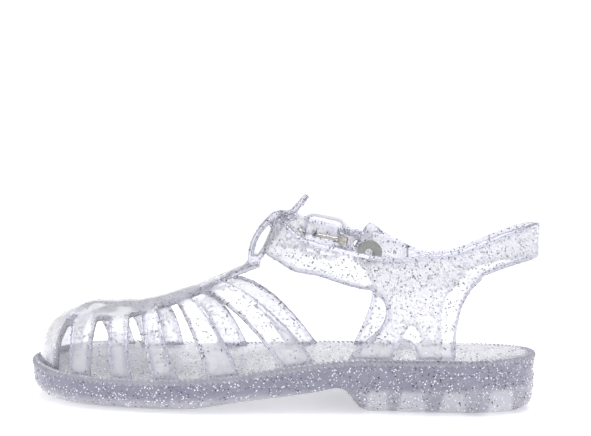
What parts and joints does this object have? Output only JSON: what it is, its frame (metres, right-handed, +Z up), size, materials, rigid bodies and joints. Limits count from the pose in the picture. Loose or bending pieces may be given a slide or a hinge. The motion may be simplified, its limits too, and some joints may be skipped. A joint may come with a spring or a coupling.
{
  "type": "jelly sandal",
  "caption": "Child's clear glitter jelly sandal for the right foot, woven T-bar upper, ankle strap with a buckle on the outer side, moulded sole with a low heel.",
  "frame": {"origin": "on the ground under the heel, on the tread's middle rib, on the line from the heel's centre to the toe", "axes": "-X towards the toe, +X towards the heel, -Y towards the inner (medial) side, +Y towards the outer (lateral) side, +Z up"},
  "size_m": [0.1719, 0.0712, 0.0704],
  "materials": {
    "outsole": "glossy clear PVC with silver glitter",
    "upper": "glossy clear PVC with silver glitter",
    "buckle_frame": "glossy white moulded plastic",
    "buckle_prong": "nickel plated, satin",
    "rivet": "matte zinc plated"
  },
  "bodies": {
    "root": {"outsole": "outsole", "upper": "upper", "buckle_frame": "buckle_frame", "buckle_prong": "buckle_prong", "rivet": "rivet"}
  },
  "joints": []
}
